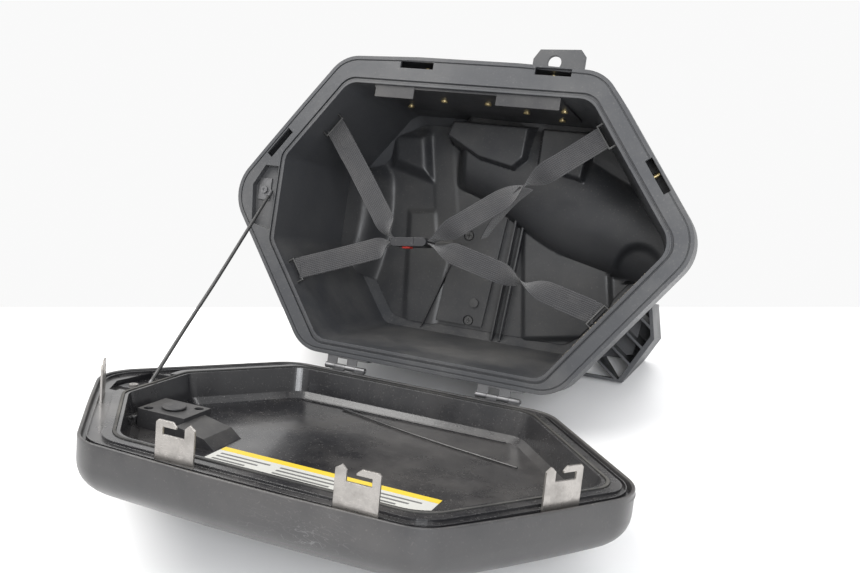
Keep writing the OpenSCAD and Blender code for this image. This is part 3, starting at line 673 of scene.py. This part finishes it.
def strap_line(name, end_x, sag=3.0):
    """Centres and width directions from the staple to the buckle."""
    at, inward, edge = anchor(name)
    start = at + inward * 12.0
    end = (BUCKLE @ (Vector((end_x, 0, 1.4 if "upper" in name else -1.4)) * MM)) / MM
    steps = 56
    along = (end - start).normalized()
    flat = (edge - along * edge.dot(along)).normalized()
    up = along.cross(flat)
    side = 1 if up.y > 0 else -1
    centres, widths = [], []
    for k in range(steps + 1):
        t = k / steps
        angle = side * math.pi / 2 * ease(0.8, 1.0, t)
        if "right" in name:
            angle += side * math.pi * ease(0.2, 0.62, t)
        centres.append(start.lerp(end, t) + Vector((0, 1, 0)) * sag * math.sin(math.pi * t))
        widths.append(flat * math.cos(angle) + up * math.sin(angle))
    return centres, widths, inward


def make_strap(name, end_x):
    """One strap from its staple to the buckle, with its end folded back round the staple and sewn."""
    centres, widths, inward = strap_line(name, end_x)
    obj, length = tape(f"webbing_{name}", centres, widths)
    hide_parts(f"strap_{name}")
    if "left" in name:
        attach(obj, "tub")
    else:
        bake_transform(obj)
    fold = [c - inward * FOLD_GAP for c in reversed(centres[:FOLD_ROWS])]
    base = centres[0] - inward * 2.4
    forward = (centres[2] - centres[0]).normalized()
    for k in range(2, 6):
        a = math.pi * (k / 14) * 1.25 + math.pi * 0.5
        fold.append(base + inward * LOOP_R * math.sin(a) + forward * LOOP_R * math.cos(a))
    tail, length = tape(f"folded_tail_{name}", fold, [widths[0]] * len(fold))
    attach(tail, "tub")
    stitches(name, centres, widths, inward)


def stitches(name, centres, widths, inward):
    """Two bar tacks through the folded end."""
    points, faces = [], []
    for row in (7, 10):
        c, w = centres[row], widths[row]
        for q in range(10):
            p = c + w * (q - 4.5) * 2.2 + inward * 1.0
            t = (centres[row + 1] - c).normalized()
            base = len(points)
            for du, dv in ((-0.3, -1.2), (0.3, -1.2), (0.3, 1.2), (-0.3, 1.2)):
                points.append(p + w * du + t * dv)
            points.append(p + inward * 0.35)
            faces += [(base + i, base + (i + 1) % 4, base + 4) for i in range(4)]
    new_piece(f"stitching_{name}", points, faces, "grey", TUB, "tub")


def hanging_tail():
    """Loose end of the adjustable strap, edge on, hanging from the twist of the upper right strap."""
    centres, _, _ = strap_line("upper_right", RIGHT_END)
    top = centres[24] + Vector((0, 6, -2))
    drops = [(0, 0, 0), (-18, 8, -18), (-36, 14, -42), (-46, 18, -60)]
    line = smooth_path([top + Vector(drop) for drop in drops], 9)
    first, final = Vector((0.25, 1, -0.1)), Vector((0.05, 1, 0.25))
    widths = [first.lerp(final, k / len(line)) for k in range(len(line))]
    obj, length = tape("loose_end", line, widths)
    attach(obj, "tub")


# ---- stay cable ----
ROUTE = [(-0.226, 0.097, 0.214), (-0.224, 0.035, 0.182), (-0.222, -0.026, 0.151),
         (-0.221, -0.088, 0.120), (-0.219, -0.150, 0.089)]
CABLE_R = 2.0


def stay_cable():
    path = smooth_path(ROUTE, 12)
    obj = tube("stay_rope", [p / MM for p in path], CABLE_R, "black steel", body=None, sides=16)
    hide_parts("stay_cable")
    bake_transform(obj)


# ---- lid ----
LABEL_Y, LABEL_SIDES = -32.62, (-98, 118)


def strip(x0, x1, z0, z1):
    return [(x0, z0), (x1, z0), (x1, z1), (x0, z1)]


def lid_label():
    """Generic caution plate: a yellow band over a pale field with plain blocks, no lettering."""
    low, high = LABEL_Y - 0.3, LABEL_Y + 0.05
    field = plate("label_field", strip(*LABEL_SIDES, 233, 262), low, high, "pale", LID, "lid", 0.1)
    plate("label_band", strip(*LABEL_SIDES, 224, 232.6), low, high, "yellow", LID, "lid", 0.1)
    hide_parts("lid_label")
    for k, (x0, x1) in enumerate(((-92, -40), (-30, 44), (54, 106))):
        for row, z in enumerate((239, 246, 253)):
            bar = strip(x0, x1 - 9 * row, z, z + 3)
            plate(f"label_bar_{k + 1}_{row + 1}", bar, LABEL_Y, LABEL_Y + 0.12, "grey", LID, "lid", 0.05)


def lid_mouldings():
    """Crease and stiffening ribs on the bowl's floor, and the bead along the lid's edge."""
    floor = -31.6
    crease = smooth_path([(-66, floor, 50), (40, floor, 84), (150, floor, 110)], 8)
    tube("crease_long", crease, 1.1, "lid", LID, "lid")
    tube("crease_hinge", [(-120, floor, 44), (118, floor, 44)], 1.0, "lid", LID, "lid")
    boss = rounded([(-214, 186), (-198, 182), (-198, 232), (-212, 228)], 4)
    plate("lock_boss", boss, -32, -22, "lid", LID, "lid", 1.5)
    edge = rounded(inset(HEXAGON, [0.9] * 6), 42, 8)
    tube("lid_edge_bead", ring_path(edge, -6), 1.2, "skin", LID, "lid", closed=True)


# How far each edge of the outline bows outward
CROWN = (0, 0, 4, 5, 1, 0)
# The lid's section: depth below the rim plane, and how far in from the rim
DOME = [(-0.4, 0.6), (-0.9, 0.1), (-2, 0), (-12, 0), (-23, 0.1), (-28, 0.8), (-33, 2.4), (-37, 4.6),
        (-41, 7.8), (-45, 12.2), (-49, 18.0), (-53, 25.4), (-57, 33.4), (-60.5, 42.4), (-63.5, 52),
        (-66, 62), (-67.6, 69), (-67.95, 72)]


def rim_outline(d):
    """The case's outline, d in from the rim, with its slightly bowed upper edges."""
    six = inset(HEXAGON, [d] * 6)
    out, bow_radii = [], []
    for i, here in enumerate(six):
        out.append(here)
        if CROWN[i]:
            edge = math.dist(here, six[(i + 1) % 6])
            bow_radii.append(min(1800, 0.15 * edge * edge / CROWN[i]))
            a, b = Vector(here), Vector(six[(i + 1) % 6])
            way = (b - a).normalized()
            out.append(tuple((a + b) / 2 + Vector((way.y, -way.x)) * CROWN[i]))
    c, side = max(2, 42 - 0.8 * d), max(2, 48 - 0.8 * d)
    return rounded(out, (c, c, side, bow_radii[0], c, bow_radii[1], c, bow_radii[2], side), 10)


def lid_skin():
    """Smooth outside of the lid, from its inner lip to the flat outer face, with no hole for the lock."""
    section = [(-7, 3.4), (-1.2, 3.0), (-0.6, 2.4)] + DOME
    loops = [[(x, y, z) for x, z in rim_outline(d)] for y, d in section]
    n = len(loops[0])
    points = [p for loop in loops for p in loop]
    faces = [(k * n + q, k * n + (q + 1) % n, (k + 1) * n + (q + 1) % n, (k + 1) * n + q)
             for k in range(len(loops) - 1) for q in range(n)]
    last = (len(loops) - 1) * n
    faces.append(tuple(last + q for q in range(n)))
    skin = new_piece("lid_skin", points, faces, "skin", LID, "lid", 40)
    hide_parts("lid_cover")


LOCK, CAP_R, CAP_SIDES = (-170, 208), 12, 16


def lock_cap():
    """Dark cap over the inner end of the lock."""
    turns = [k / CAP_SIDES * math.tau for k in range(CAP_SIDES)]
    ring = [(LOCK[0] + CAP_R * math.cos(a), LOCK[1] + CAP_R * math.sin(a)) for a in turns]
    plate("lock_cap", ring, -13.4, -11.2, "dark", LID, "lid", 1.0)


def make_floor():
    """Table top whose far edge lies just behind the case."""
    ahead = Vector((-0.3836, 0.9235, 0))
    side = Vector((0.9235, 0.3836, 0))
    far = Vector((-0.107, 0.316, 0))
    half_width, length, thick = 2.5, 3.2, 0.03
    left, right = far - side * half_width, far + side * half_width
    corners = [left, right, right - ahead * length, left - ahead * length]
    mesh = bpy.data.meshes.new("table")
    low = [c - Vector((0, 0, thick)) for c in corners]
    faces = [(3, 2, 1, 0), (4, 5, 6, 7), (0, 1, 5, 4), (1, 2, 6, 5), (2, 3, 7, 6), (3, 0, 4, 7)]
    mesh.from_pydata([tuple(c) for c in corners + low], [], faces)
    mesh.materials.append(floor_paint())
    obj = bpy.data.objects.new("table", mesh)
    bpy.context.scene.collection.objects.link(obj)


make_camera()
make_lights()
make_floor()
dress_cad_nodes()
stay_cable()
back_skin()
tub_rim()
dirt_crumbs()
for strap in ANCHORS:
    make_strap(strap, LEFT_END if "left" in strap else RIGHT_END)
hanging_tail()
lid_skin()
lock_cap()
lid_label()
lid_mouldings()
